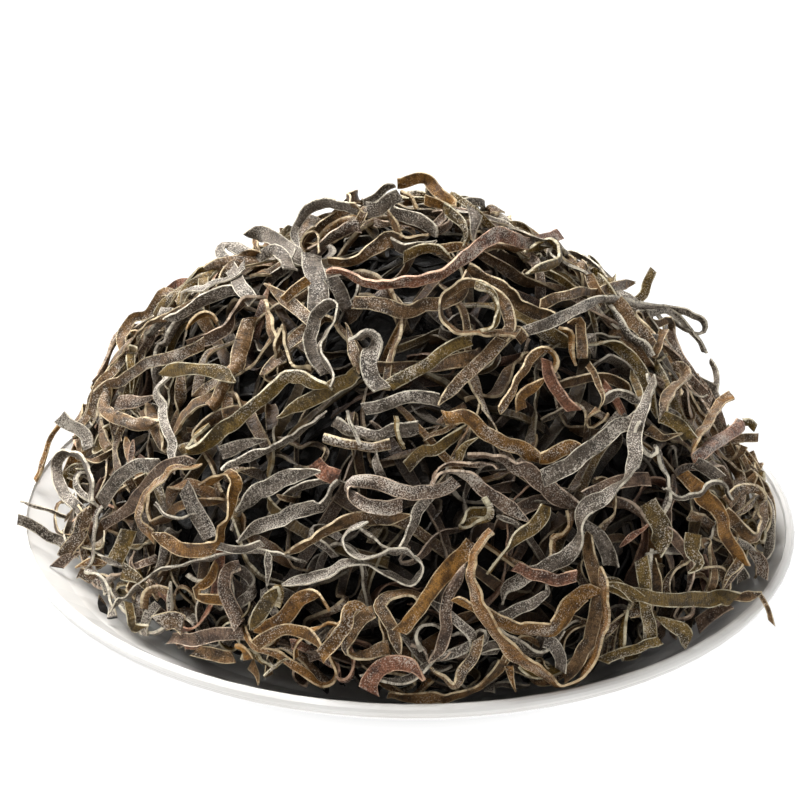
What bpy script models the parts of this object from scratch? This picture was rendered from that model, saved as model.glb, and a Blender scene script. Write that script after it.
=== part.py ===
"""A heap of dried kelp strips on a round white porcelain plate.

Two solids, in metres, +Z up, with the origin on the table under the middle of the plate:

- plate: a shallow coupe plate with a rounded lip and a foot ring, one turned wall;
- kelp_heap: the heap out to its uneven outline, one closed mound that lies in the plate.

The heap's front faces -Y and its right side +X.
"""

import math

import bpy
from mathutils import Vector, noise

# Plate, a turned form.
PLATE_DIAMETER = 0.250
PLATE_HEIGHT = 0.028
LIP_THICKNESS = 0.0036
FLOOR_HEIGHT = 0.0072
FLOOR_THICKNESS = 0.0042
FLOOR_RADIUS = 0.058
# How much more steeply the wall rises towards the lip, inside and outside.
INSIDE_CURVE = 2.6
OUTSIDE_CURVE = 1.75
# Where the wall's two sides run into the round of the lip, in parts of the lip's thickness
# in (-) or out (+) and below (-) or above (+) the middle of the round.
LIP_INSIDE_AT = (-0.36, 0.10)
LIP_OUTSIDE_AT = (0.22, -0.62)
# The round of the lip, in degrees from the outward level.
LIP_FROM = 120
LIP_TURN = -180
FOOT_RADIUS = 0.074
FOOT_WIDTH = 0.0052
FOOT_BEVEL = 0.0008
# Where the outside runs into the foot ring, in parts of the height of the plate's underside.
FOOT_TOP = 0.8

# Heap, a mound with steep sides and a blunt top.
HEAP_RADIUS = 0.1160
HEAP_HEIGHT = 0.138
TOP_BLUNTNESS = 0.88
HEAP_GAP = 0.0004
# How much the relief pushes upwards at the foot, against outwards, and over which share of
# the heap's height it comes in.
RELIEF_UPWARDS = 0.35
RELIEF_FADE = 0.25
LUMP_SIZE = 0.026
LUMP_DEPTH = 0.0055
TANGLE_SIZE = 0.011
TANGLE_DEPTH = 0.0022
NOISE_PLACE = Vector((3.7, 1.3, 8.9))

# How far the heap's foot draws in (-) or spreads (+) round the plate:
# bearing in degrees, metres, and half the arc that it covers in degrees.
FOOT_LOBES = (
    (212, -0.0105, 30),
    (268, 0.0022, 24),
    (330, 0.0018, 30),
    (20, 0.0020, 28),
    (95, -0.0020, 30),
    (150, 0.0015, 25),
)

# Swellings and hollows of the mound: bearing in degrees, height above the table,
# metres out (+) or in (-), and the radius that each one fades over.
SWELLINGS = (
    (2, 0.068, -0.0085, 0.038),
    (20, 0.096, -0.0030, 0.030),
    (178, 0.062, -0.0075, 0.030),
    (170, 0.118, -0.0050, 0.032),
    (268, 0.060, 0.0030, 0.040),
    (75, 0.070, 0.0035, 0.040),
)

ROUND_STEPS = 72
LIP_STEPS = 6
WALL_STEPS = 7
HEAP_RINGS = 20
HEAP_UNDER_STEPS = 8
MERGE_DISTANCE = 0.00005
PLATE_SHARP = 40
HEAP_SHARP = 60

PORCELAIN = (0.90, 0.89, 0.87, 1.0)
KELP = (0.075, 0.058, 0.036, 1.0)


def clear_scene():
    for item in list(bpy.data.objects):
        bpy.data.objects.remove(item, do_unlink=True)


def make_material(name, colour, roughness):
    material = bpy.data.materials.new(name)
    material.use_nodes = True
    shader = material.node_tree.nodes["Principled BSDF"]
    shader.inputs["Base Color"].default_value = colour
    shader.inputs["Roughness"].default_value = roughness
    shader.inputs["Metallic"].default_value = 0.0
    return material


def lip_centre():
    """(radius, height) of the middle of the rounded lip."""
    half = LIP_THICKNESS / 2
    return PLATE_DIAMETER / 2 - half, PLATE_HEIGHT - half


def wall_rise(share):
    """The height that the wall has gained at this share of its way out from the floor."""
    return share**INSIDE_CURVE


def inside_curve():
    """The plate's inside from the middle to where the lip begins, as (radius, height)."""
    lip_r, lip_z = lip_centre()
    edge_r = lip_r + LIP_THICKNESS * LIP_INSIDE_AT[0]
    edge_z = lip_z + LIP_THICKNESS * LIP_INSIDE_AT[1]
    points = [(0.0, FLOOR_HEIGHT), (FLOOR_RADIUS, FLOOR_HEIGHT)]
    for i in range(1, WALL_STEPS + 1):
        share = i / WALL_STEPS
        radius = FLOOR_RADIUS + (edge_r - FLOOR_RADIUS) * share
        points.append((radius, FLOOR_HEIGHT + (edge_z - FLOOR_HEIGHT) * wall_rise(share)))
    return points


def lip_curve():
    """The rounded lip, from its inner shoulder over the top to its outer shoulder."""
    lip_r, lip_z = lip_centre()
    half = LIP_THICKNESS / 2
    points = []
    for i in range(LIP_STEPS + 1):
        angle = math.radians(LIP_FROM + LIP_TURN * i / LIP_STEPS)
        points.append((lip_r + half * math.cos(angle), lip_z + half * math.sin(angle)))
    return points


def outside_curve():
    """The underside of the wall, from under the lip in to the foot ring."""
    lip_r, lip_z = lip_centre()
    start_r = lip_r + LIP_THICKNESS * LIP_OUTSIDE_AT[0]
    start_z = lip_z + LIP_THICKNESS * LIP_OUTSIDE_AT[1]
    under = FLOOR_HEIGHT - FLOOR_THICKNESS
    points = []
    for i in range(WALL_STEPS):
        share = 1 - i / WALL_STEPS
        radius = FOOT_RADIUS + (start_r - FOOT_RADIUS) * share
        points.append((radius, under + (start_z - under) * share**OUTSIDE_CURVE))
    return points


def foot_curve():
    """The foot ring and the recess inside it, in to the middle."""
    under = FLOOR_HEIGHT - FLOOR_THICKNESS
    inner = FOOT_RADIUS - FOOT_WIDTH
    return [
        (FOOT_RADIUS, under * FOOT_TOP),
        (FOOT_RADIUS, FOOT_BEVEL),
        (FOOT_RADIUS - FOOT_BEVEL, 0.0),
        (inner + FOOT_BEVEL, 0.0),
        (inner, FOOT_BEVEL),
        (inner, under),
        (0.0, under),
    ]


def plate_inside(radius):
    """The height of the plate's faceted inside at this radius."""
    points = inside_curve()
    for (near_r, near_z), (far_r, far_z) in zip(points, points[1:]):
        if radius <= far_r:
            return near_z + (far_z - near_z) * (radius - near_r) / (far_r - near_r)
    return points[-1][1]


def turned(name, profile, collection):
    """A solid turned round Z from a profile that starts and ends on the axis."""
    mesh = bpy.data.meshes.new(name)
    points = [(radius, 0.0, height) for radius, height in profile]
    edges = [(i, i + 1) for i in range(len(points) - 1)]
    mesh.from_pydata(points, edges, [])
    item = bpy.data.objects.new(name, mesh)
    collection.objects.link(item)
    screw = item.modifiers.new("Turn", "SCREW")
    screw.steps = ROUND_STEPS
    screw.render_steps = ROUND_STEPS
    screw.use_merge_vertices = True
    screw.merge_threshold = MERGE_DISTANCE
    return item


def made_mesh(item):
    """Replaces an object's mesh by the one its modifiers make."""
    graph = bpy.context.evaluated_depsgraph_get()
    mesh = bpy.data.meshes.new_from_object(item.evaluated_get(graph))
    item.modifiers.clear()
    item.data = mesh
    return mesh


def arc_between(bearing, other):
    """The angle in degrees between two bearings."""
    return abs((bearing - other + 180) % 360 - 180)


def foot_radius(bearing):
    """How far out the heap reaches on the plate at this bearing."""
    reach = HEAP_RADIUS
    for lobe_bearing, spread, half_arc in FOOT_LOBES:
        reach += spread * math.exp(-((arc_between(bearing, lobe_bearing) / half_arc) ** 2))
    return reach


def mound_radius(reach, rise):
    """The mound's radius at a rise of 0 at its foot to 1 at its top."""
    return reach * (1 - rise**2) ** TOP_BLUNTNESS


def swelling_at(point):
    """How far the swellings and hollows move this point of the mound, outwards."""
    foot = plate_inside(HEAP_RADIUS)
    total = 0.0
    for bearing, height, swell, fade in SWELLINGS:
        angle = math.radians(bearing)
        out = mound_radius(HEAP_RADIUS, (height - foot) / (HEAP_HEIGHT - foot))
        centre = Vector((out * math.cos(angle), out * math.sin(angle), height))
        total += swell * math.exp(-(((point - centre).length / fade) ** 2))
    return total


def unevenness_at(point):
    """The lumps of the heap and the finer relief of its tangle, outwards."""
    lumps = noise.noise(point / LUMP_SIZE + NOISE_PLACE)
    tangle = noise.noise(point / TANGLE_SIZE - NOISE_PLACE)
    return LUMP_DEPTH * lumps + TANGLE_DEPTH * tangle


def mound_point(bearing, rise):
    """A point of the mound: rise is 0 at its foot and 1 at its top."""
    reach = foot_radius(bearing)
    foot = plate_inside(reach) + HEAP_GAP
    radius = mound_radius(reach, rise)
    height = foot + (HEAP_HEIGHT - foot) * rise
    angle = math.radians(bearing)
    point = Vector((radius * math.cos(angle), radius * math.sin(angle), height))
    level = 1 - rise**2
    outwards = Vector((math.cos(angle) * level, math.sin(angle) * level, RELIEF_UPWARDS + rise))
    outwards.normalize()
    fade = min(1.0, rise / RELIEF_FADE)
    moved = point + outwards * fade * (swelling_at(point) + unevenness_at(point))
    across = math.hypot(moved.x, moved.y)
    moved.z = max(moved.z, plate_inside(across) + HEAP_GAP)
    return moved


def heap_profile():
    """The even mound that the heap is worked from: down its side, then in under it."""
    foot = plate_inside(HEAP_RADIUS) + HEAP_GAP
    points = []
    for i in range(HEAP_RINGS + 1):
        rise = 1 - i / HEAP_RINGS
        height = foot + (HEAP_HEIGHT - foot) * rise
        points.append((mound_radius(HEAP_RADIUS, rise), height))
    for i in range(1, HEAP_UNDER_STEPS):
        share = 1 - i / HEAP_UNDER_STEPS
        radius = FLOOR_RADIUS + (HEAP_RADIUS - FLOOR_RADIUS) * share
        points.append((radius, plate_inside(radius) + HEAP_GAP))
    points.append((FLOOR_RADIUS, FLOOR_HEIGHT + HEAP_GAP))
    points.append((0.0, FLOOR_HEIGHT + HEAP_GAP))
    return points


def make_plate(collection):
    profile = inside_curve() + lip_curve() + outside_curve() + foot_curve()
    plate = turned("plate", profile, collection)
    plate.data.materials.append(make_material("glazed porcelain", PORCELAIN, 0.12))
    mesh = made_mesh(plate)
    mesh.shade_smooth()
    mesh.set_sharp_from_angle(angle=math.radians(PLATE_SHARP))
    return plate


def make_heap(collection):
    heap = turned("kelp_heap", heap_profile(), collection)
    heap.data.materials.append(make_material("dried kelp", KELP, 0.75))
    mesh = made_mesh(heap)
    foot = plate_inside(HEAP_RADIUS) + HEAP_GAP
    for vertex in mesh.vertices:
        x, y, z = vertex.co
        radius = math.hypot(x, y)
        bearing = math.degrees(math.atan2(y, x))
        if z > plate_inside(radius) + HEAP_GAP * 1.5:
            vertex.co = mound_point(bearing, (z - foot) / (HEAP_HEIGHT - foot))
        elif radius > FLOOR_RADIUS:
            share = (radius - FLOOR_RADIUS) / (HEAP_RADIUS - FLOOR_RADIUS)
            reach = FLOOR_RADIUS + (foot_radius(bearing) - FLOOR_RADIUS) * share
            angle = math.radians(bearing)
            height = plate_inside(reach) + HEAP_GAP
            vertex.co = Vector((reach * math.cos(angle), reach * math.sin(angle), height))
    mesh.shade_smooth()
    mesh.set_sharp_from_angle(angle=math.radians(HEAP_SHARP))
    return heap


def main():
    clear_scene()
    collection = bpy.data.collections.new("kelp_on_plate")
    bpy.context.scene.collection.children.link(collection)
    make_plate(collection)
    make_heap(collection)


main()
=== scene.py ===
import math
from functools import partial

import bpy
import numpy as np
from mathutils import Matrix, Vector
from mathutils.bvhtree import BVHTree


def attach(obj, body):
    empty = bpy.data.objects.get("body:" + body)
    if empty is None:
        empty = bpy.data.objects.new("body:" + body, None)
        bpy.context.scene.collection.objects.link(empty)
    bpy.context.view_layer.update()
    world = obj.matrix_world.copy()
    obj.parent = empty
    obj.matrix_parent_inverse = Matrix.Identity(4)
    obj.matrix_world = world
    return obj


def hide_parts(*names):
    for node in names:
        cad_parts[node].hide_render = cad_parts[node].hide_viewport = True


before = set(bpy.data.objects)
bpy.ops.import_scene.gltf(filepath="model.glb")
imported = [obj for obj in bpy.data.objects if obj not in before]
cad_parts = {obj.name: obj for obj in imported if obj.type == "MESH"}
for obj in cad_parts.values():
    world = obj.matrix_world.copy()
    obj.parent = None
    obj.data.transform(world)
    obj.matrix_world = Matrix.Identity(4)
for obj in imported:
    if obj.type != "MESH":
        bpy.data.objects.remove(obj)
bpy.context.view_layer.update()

MM = 0.001
# Names of nodes that the trees below use often.
MATH = "ShaderNodeMath"
VECTORS = "ShaderNodeVectorMath"
RANGE = "ShaderNodeMapRange"
MIX = "ShaderNodeMix"
NOISE = "ShaderNodeTexNoise"
READ = "GeometryNodeInputNamedAttribute"
STORE = "GeometryNodeStoreNamedAttribute"

# ---------------------------------------------------------------- small helpers


def linear(colour):
    """An sRGB hex colour such as "4b4438" as linear RGBA."""
    channels = [int(colour[i : i + 2], 16) / 255 for i in (0, 2, 4)]
    return [c / 12.92 if c <= 0.04045 else ((c + 0.055) / 1.055) ** 2.4 for c in channels] + [1.0]


def add(tree, kind, inputs=(), **settings):
    """Adds a node to a tree. inputs maps a socket's name or number to a value, to the output
    that feeds it, or to the node whose first output does. settings are the node's own."""
    node = tree.nodes.new(kind)
    for name, value in settings.items():
        setattr(node, name, value)
    for socket, value in dict(inputs).items():
        if isinstance(value, bpy.types.Node):
            value = next(output for output in value.outputs if output.enabled)
        if isinstance(value, bpy.types.NodeSocket):
            tree.links.new(value, node.inputs[socket])
        else:
            node.inputs[socket].default_value = value
    return node


def unit(vectors):
    """Vectors brought to length one, whether one of them or rows of them."""
    return vectors / np.maximum(np.linalg.norm(vectors, axis=-1, keepdims=True), 1e-12)


def smoothed(values, places, width):
    """Values along a line, each averaged with its neighbours by a bell of this width."""
    bell = np.exp(-0.5 * ((places[:, None] - places[None, :]) / width) ** 2)
    return (bell @ values) / bell.sum(1)


def added(item, body="root"):
    """Puts a new object in the scene, riding on a body of the frame."""
    bpy.context.scene.collection.objects.link(item)
    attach(item, body)
    return item


# ---------------------------------------------------------------- the camera

LIP_MIDDLE = np.array((0, 0, 28 * MM))
VIEW_SLOPE = math.radians(27.7)
VIEW_DISTANCE = 1.0
VIEW_ROLL = math.radians(0.75)
LENS = 139.0
AIM_UP = 34.2 * MM
AIM_RIGHT = -2.6 * MM


class Sight:
    """Where the camera stands and how it is turned."""

    def __init__(self):
        back = np.array((0, -math.cos(VIEW_SLOPE), math.sin(VIEW_SLOPE)))
        level = np.array((1.0, 0.0, 0.0))
        self.place = LIP_MIDDLE + back * VIEW_DISTANCE
        aim = LIP_MIDDLE + np.cross(back, level) * AIM_UP + level * AIM_RIGHT
        self.back = unit(self.place - aim)
        level = unit(np.cross((0, 0, 1), self.back))
        rise = np.cross(self.back, level)
        cos, sin = math.cos(VIEW_ROLL), math.sin(VIEW_ROLL)
        self.right = level * cos + rise * sin
        self.up = rise * cos - level * sin

    def lines(self, across, up):
        """Unit lines of sight to points this far right of and above the plate's middle."""
        targets = LIP_MIDDLE + np.outer(across, self.right) + np.outer(up, self.up)
        return unit(targets - self.place)


def make_camera(sight):
    data = bpy.data.cameras.new("camera")
    data.lens = LENS
    data.sensor_width = 36.0
    camera = bpy.data.objects.new("camera", data)
    bpy.context.scene.collection.objects.link(camera)
    turn = Matrix((sight.right, sight.up, sight.back)).transposed()
    camera.matrix_world = Matrix.Translation(sight.place) @ turn.to_4x4()
    bpy.context.scene.camera = camera


# ---------------------------------------------------------------- the room that strips fill

# Rays fan out from this point under the plate, and every place in the heap is a direction
# of such a ray and a distance along it.
FAN = np.array((0.0, 0.0, -30 * MM))
FAN_REACH = 1.42
CELL = 0.0112
# The core's depth under the outline, but no more than this share of what room there is.
CORE_DEPTH = 20 * MM
CORE_SHARE = 0.87
# The room that the chosen strips need on the side that faces the camera.
FRONT_ROOM = 4 * MM
# The room that is left free round the heap's contour, as the camera sees it.
CONTOUR_ROOM = 2.5 * MM
# How much of a laid strip's height counts for the strips that come to lie on it: the rest
# is the way that they lock into each other.
STACKING = 0.85


def bvh_of(name):
    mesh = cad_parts[name].data
    return BVHTree.FromPolygons([v.co for v in mesh.vertices], [p.vertices for p in mesh.polygons])


def blurred(values, cells):
    """A table smoothed by a bell of this many cells."""
    reach = int(cells * 2.5)
    bell = np.exp(-0.5 * (np.arange(-reach, reach + 1) / cells) ** 2)
    bell /= bell.sum()
    padded = np.pad(values, reach, mode="edge")
    padded = np.apply_along_axis(np.convolve, 0, padded, bell, mode="valid")
    return np.apply_along_axis(np.convolve, 1, padded, bell, mode="valid")


class Room:
    """The heap as tables over the fan of rays: how far out its outline is, the ceiling
    for strips that lie at random, and how far out the core, the plate and the strips laid
    so far reach."""

    def __init__(self, back):
        self.half = int(FAN_REACH / CELL)
        size = 2 * self.half + 1
        heap, plate = bvh_of("kelp_heap"), bvh_of("plate")
        outline = np.full((size, size), np.nan)
        ground = np.full((size, size), np.nan)
        start = Vector(FAN)
        for i in range(size):
            for j in range(size):
                u, v = (i - self.half) * CELL, (j - self.half) * CELL
                slope = math.hypot(u, v)
                if slope > FAN_REACH:
                    continue
                across = math.sin(slope) / max(slope, 1e-9)
                ray = Vector((u * across, v * across, math.cos(slope)))
                hit = heap.ray_cast(start + ray * 0.5, -ray)
                if hit[0] is not None:
                    outline[i, j] = 0.5 - hit[3]
                hit = plate.ray_cast(start + ray * 0.5, -ray)
                if hit[0] is not None:
                    ground[i, j] = 0.5 - hit[3]
        self.inside = ~np.isnan(outline)
        rim = np.nanmax(np.where(self.inside, np.nan, ground))
        ground = np.where(np.isnan(ground), rim, ground)
        outline = np.where(self.inside, outline, ground + 2 * MM)
        self.outline = blurred(outline, 2)
        self.ceiling = self.outline - self.kept_free(back) * np.clip(
            (self.outline - ground) / FOOT_FADE, 0, 1)
        self.plate = ground
        room_left = np.maximum(self.outline - ground, 0)
        self.core = self.outline - np.minimum(CORE_DEPTH, CORE_SHARE * room_left)
        self.top = np.maximum(self.core, ground)
        self.limits = self.foot_limits()

    def kept_free(self, back):
        """The room that strips at random leave free: on the front for the chosen strips,
        and round the contour for light to show between the outermost ones."""
        u, v = (np.indices(self.outline.shape) - self.half) * CELL
        slope = np.hypot(u, v)
        across = np.sin(slope) / np.maximum(slope, 1e-9)
        facing = u * across * back[0] + v * across * back[1] + np.cos(slope) * back[2]
        front = np.clip(facing * 1.6, 0, 1)
        contour = np.exp(-((facing / 0.35) ** 2))
        return np.maximum(FRONT_ROOM * front, CONTOUR_ROOM * contour)

    def foot_limits(self):
        """The widest slope of a ray that meets the heap, for each degree of bearing."""
        limits = []
        for degree in range(360):
            angle = math.radians(degree)
            slopes = np.arange(self.half) * CELL
            i = np.round(slopes * math.cos(angle) / CELL).astype(int) + self.half
            j = np.round(slopes * math.sin(angle) / CELL).astype(int) + self.half
            limits.append(slopes[self.inside[i, j]].max())
        wide = np.array(limits * 3)
        bell = np.hanning(19)
        wide = np.convolve(wide, bell / bell.sum(), mode="same")
        return np.append(wide[360:720], wide[360])

    def cells(self, rays):
        """The table places of unit rays, as fractions of a cell."""
        slope = np.arccos(np.clip(rays[:, 2], -1, 1))
        scale = slope / np.maximum(np.sin(slope), 1e-9) / CELL
        i = rays[:, 0] * scale + self.half
        j = rays[:, 1] * scale + self.half
        most = 2 * self.half - 1.001
        return np.clip(i, 1, most), np.clip(j, 1, most)

    def read(self, table, rays):
        """A table's value along unit rays, smoothly between its cells."""
        i, j = self.cells(rays)
        a, b = i.astype(int), j.astype(int)
        s, t = i - a, j - b
        near = table[a, b] * (1 - t) + table[a, b + 1] * t
        far = table[a + 1, b] * (1 - t) + table[a + 1, b + 1] * t
        return near * (1 - s) + far * s

    def height_under(self, rays):
        i, j = self.cells(rays)
        return self.top[np.round(i).astype(int), np.round(j).astype(int)]

    def fill(self, points):
        """Marks these points as taken, up from below."""
        reach = np.linalg.norm(points - FAN, axis=1)
        i, j = self.cells((points - FAN) / reach[:, None])
        raised = self.top.copy()
        np.maximum.at(raised, (np.round(i).astype(int), np.round(j).astype(int)), reach)
        self.top += STACKING * (raised - self.top)

    def past_foot(self, rays):
        """How far rays pass the heap's foot, as an angle that is negative inside it."""
        slope = np.arccos(np.clip(rays[:, 2], -1, 1))
        bearing = np.degrees(np.arctan2(rays[:, 1], rays[:, 0])) % 360
        return slope - np.interp(bearing, np.arange(361), self.limits)


# ---------------------------------------------------------------- loose strips

POINT_GAP = 1.3 * MM
INNER_POINT_GAP = 2.4 * MM
FOOT_SLACK = 0.025
FOOT_FADE = 30 * MM
# How far strips press into what they lie on.
SINK = 0.8 * MM

# Lengths and waves in metres, widths and depths in millimetres, bends and twists per metre,
# and creases to each 100 mm.
KINDS = {
    "long": dict(length=(0.060, 0.140), width=(2.2, 4.4), bend=50, wave=0.018, curl=10,
                 twist=75, sway=8, creases=1.4, depth=8),
    "wavy": dict(length=(0.040, 0.100), width=(2.0, 4.4), bend=105, wave=0.011, curl=34,
                 twist=110, sway=12, creases=2.2, depth=9),
    "curl": dict(length=(0.028, 0.070), width=(1.8, 4.2), bend=165, wave=0.008, curl=95,
                 twist=125, sway=16, creases=3.0, depth=10),
    "crumb": dict(length=(0.010, 0.028), width=(1.6, 4.8), bend=160, wave=0.007, curl=50,
                  twist=160, sway=28, creases=6.0, depth=8),
    "thread": dict(length=(0.040, 0.110), width=(0.7, 1.6), bend=75, wave=0.013, curl=34,
                   twist=80, sway=26, creases=1.2, depth=8),
}


class Strip:
    """A strip where it lies: its middle line, the way across it, the way out of its face
    and the length so far at each point, and half its width."""

    def __init__(self, points, wide, up, half, along):
        self.points = points
        self.wide = wide
        self.up = up
        self.half = half
        self.along = along

    def cover(self):
        """Points that lie close together all over the strip."""
        lines = [self.points + self.wide * self.half * share for share in np.linspace(-1, 1, 7)]
        lines += [(line[1:] + line[:-1]) / 2 for line in lines]
        return np.concatenate(lines)


def wander(rng, count, gap, length):
    """A smooth random course of unit depth that changes over this length."""
    knots = max(4, int(count * gap / length) + 4)
    values = rng.normal(size=knots)
    places = rng.uniform(0, 1) + np.arange(count) * gap / length
    places = np.clip(places, 0, knots - 2.001)
    left = places.astype(int)
    part = places - left
    part = part * part * (3 - 2 * part)
    return values[left] * (1 - part) + values[left + 1] * part


def free_strip(rng, kind, gap):
    """A strip as it dried, lying in no place yet: its middle line and the direction of
    its width at each point. It bends about its width, twists, and creases here and there."""
    length = rng.uniform(*kind["length"])
    count = max(8, int(length / gap) + 1)
    bend = kind["bend"] * wander(rng, count, gap, kind["wave"])
    bend += kind["curl"] * rng.choice((-1, 1)) * rng.uniform(0.3, 1.0)
    twist = kind["twist"] * wander(rng, count, gap, 22 * MM)
    sway = kind["sway"] * wander(rng, count, gap, 24 * MM)
    for _ in range(rng.poisson(kind["creases"] * length / 0.1)):
        at = rng.integers(2, count - 2)
        bend[at : at + 2] += rng.choice((-1, 1)) * rng.uniform(0.5, 1.7) / (2 * gap)
    basis = np.eye(3)
    points, widths = [np.zeros(3)], [basis[1].copy()]
    for i in range(1, count):
        along, wide, up = basis
        turn = (wide * bend[i] + along * twist[i] + up * sway[i]) * gap
        angle = np.linalg.norm(turn)
        if angle > 1e-9:
            axis = turn / angle
            cos, sin = math.cos(angle), math.sin(angle)
            basis = (
                basis * cos
                + np.cross(axis, basis) * sin
                + np.outer(basis @ axis, axis) * (1 - cos)
            )
        points.append(points[-1] + basis[0] * gap)
        widths.append(basis[1].copy())
    return np.array(points), np.array(widths)


def flattened(rng, points, widths, depth):
    """Turns a free strip so that it lies on its broadest side, and presses it into a
    layer of this depth."""
    points = points - points.mean(0)
    _, _, axes = np.linalg.svd(points, full_matrices=False)
    if np.linalg.det(axes) < 0:
        axes[2] *= -1
    tilt = Matrix.Rotation(rng.normal() * 0.25, 3, "X") @ Matrix.Rotation(rng.normal() * 0.25, 3, "Y")
    turn = axes.T @ np.array(tilt)
    points, widths = points @ turn, widths @ turn
    span = np.ptp(points[:, 2])
    press = min(1.0, depth / max(span, 1e-6))
    points[:, 2] *= press
    widths[:, 2] *= press**0.5
    return points, widths


def turned_to(ray, rays, vectors):
    """Vectors carried along the heap from one ray to others."""
    axis = np.cross(np.broadcast_to(ray, rays.shape), rays)
    dot = rays @ ray
    once = np.cross(axis, vectors)
    return vectors + once + np.cross(axis, once) / (1 + dot)[:, None]


def settled(need, along, sag):
    """The lowest course of a stiff strip that stays over every point it needs to clear."""
    gap = along[:, None] - along[None, :]
    course = (need[None, :] - gap**2 / (2 * sag)).max(1)
    return smoothed(course, along, 2.5 * MM)


def strip_frame(points, widths):
    """The widths squared to the middle line, and the face's normals, at each point."""
    along = unit(np.gradient(points, axis=0))
    widths = widths - along * (widths * along).sum(1)[:, None]
    lengths = np.linalg.norm(widths, axis=1)
    for i in np.nonzero(lengths < 0.15)[0]:
        widths[i] = widths[i - 1] if i else widths[i + 1]
    widths = unit(widths)
    return widths, np.cross(along, widths)


def clearance(room, points, wide, half):
    """How far each point of a strip has to rise for its whole width to clear the heap."""
    need = np.full(len(points), -1.0)
    for share in (-1, -0.5, 0, 0.5, 1):
        line = points + wide * half * share - FAN
        reach = np.linalg.norm(line, axis=1)
        need = np.maximum(need, room.height_under(line / reach[:, None]) - reach)
    return need - SINK


def tilted(ray, angle):
    """A ray turned away from the upright by this angle, or towards it by a negative one."""
    slope = math.acos(min(1.0, ray[2]))
    across = ray[:2] / max(math.sin(slope), 1e-9)
    return np.array((*(across * math.sin(slope + angle)), math.cos(slope + angle)))


def wrapped(room, points, ray):
    """The rays of a strip that is laid round this ray, and the axes that it lies along."""
    first = unit(np.cross(ray, (0.0, 1.0, 0.12)))
    axes = np.array((first, np.cross(ray, first), ray))
    reach = room.read(room.outline, ray[None])[0]
    arc = np.hypot(points[:, 0], points[:, 1])
    heading = (points[:, :2] / np.maximum(arc, 1e-9)[:, None]) @ axes[:2]
    angle = arc / reach
    return np.cos(angle)[:, None] * ray + np.sin(angle)[:, None] * heading, axes


def laid(room, shape, half, ray, turn, gap):
    """Lays a flattened strip on the heap round this ray, and lets it settle on what is
    there. Returns the strip and how far it stands over the outline, or nothing where it
    would pass the heap's foot."""
    points, widths = shape
    cos, sin = math.cos(turn), math.sin(turn)
    spin = np.array(((cos, sin, 0), (-sin, cos, 0), (0, 0, 1)))
    points, widths = points @ spin, widths @ spin
    rays, axes = wrapped(room, points, ray)
    for _ in range(3):
        past = room.past_foot(rays).max() - FOOT_SLACK
        if past <= 0:
            break
        ray = tilted(ray, -past * 1.05)
        rays, axes = wrapped(room, points, ray)
    if room.past_foot(rays).max() > 2 * FOOT_SLACK:
        return None
    wide = turned_to(ray, rays, widths @ axes)
    reach = room.read(room.ceiling, rays) + points[:, 2]
    placed = FAN + rays * reach[:, None]
    wide, up = strip_frame(placed, wide)
    edge_on = np.abs((wide * rays).sum(1)).mean()
    along = np.arange(len(reach)) * gap
    course = settled(clearance(room, placed, wide, half), along, 0.030 + 0.080 * edge_on)
    placed = FAN + rays * (reach + course)[:, None]
    wide, up = strip_frame(placed, wide)
    over = reach + course - room.read(room.ceiling, rays)
    return Strip(placed, wide, up, half, along), over


def anywhere(ray, share):
    """Wants every ray into the heap."""
    return True


def random_ray(rng, room, wanted):
    """A ray into the heap that is wanted, for its direction and for the share of the way
    that it is from the top of the heap to its foot."""
    while True:
        u, v = rng.uniform(-1.2, 1.2, 2)
        slope = math.hypot(u, v)
        limit = room.limits[int(math.degrees(math.atan2(v, u)) % 360)]
        if slope > limit:
            continue
        across = math.sin(slope) / max(slope, 1e-9)
        ray = np.array((u * across, v * across, math.cos(slope)))
        if wanted(ray, slope / limit):
            return ray


def lay_strips(room, rng, count, mix, gap, tries, most, wanted=anywhere, depth=None):
    """Lays this many strips of mixed kinds, each in the best of a few places tried."""
    names = list(mix)
    odds = np.array([mix[name] for name in names], float)
    odds /= odds.sum()
    strips = []
    refused = 0
    while len(strips) < count and refused < 4 * count:
        kind = KINDS[names[rng.choice(len(names), p=odds)]]
        shape = flattened(rng, *free_strip(rng, kind, gap), depth or kind["depth"] * MM)
        half = rng.uniform(*kind["width"]) * MM / 2
        best = None
        for _ in range(tries):
            ray = random_ray(rng, room, wanted)
            found = laid(room, shape, half, ray, rng.uniform(0, 2 * math.pi), gap)
            if found is None or found[1].max() > most:
                continue
            if best is None or found[1].mean() < best[1].mean():
                best = found
        if best is None:
            refused += 1
            continue
        room.fill(best[0].cover())
        strips.append(best[0])
    return strips


# ---------------------------------------------------------------- chosen strips

CHOSEN_GAP = 1.2 * MM
SIGHT_CELL = 1.0 * MM
SIGHT_HALF = 140 * MM
# Past this radius strips lie over the plate's lip, at this height.
LIP_REACH = 117 * MM
OVER_LIP = 30 * MM
LEAST_RISE = -4 * MM
MOST_RISE = 7 * MM

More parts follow.
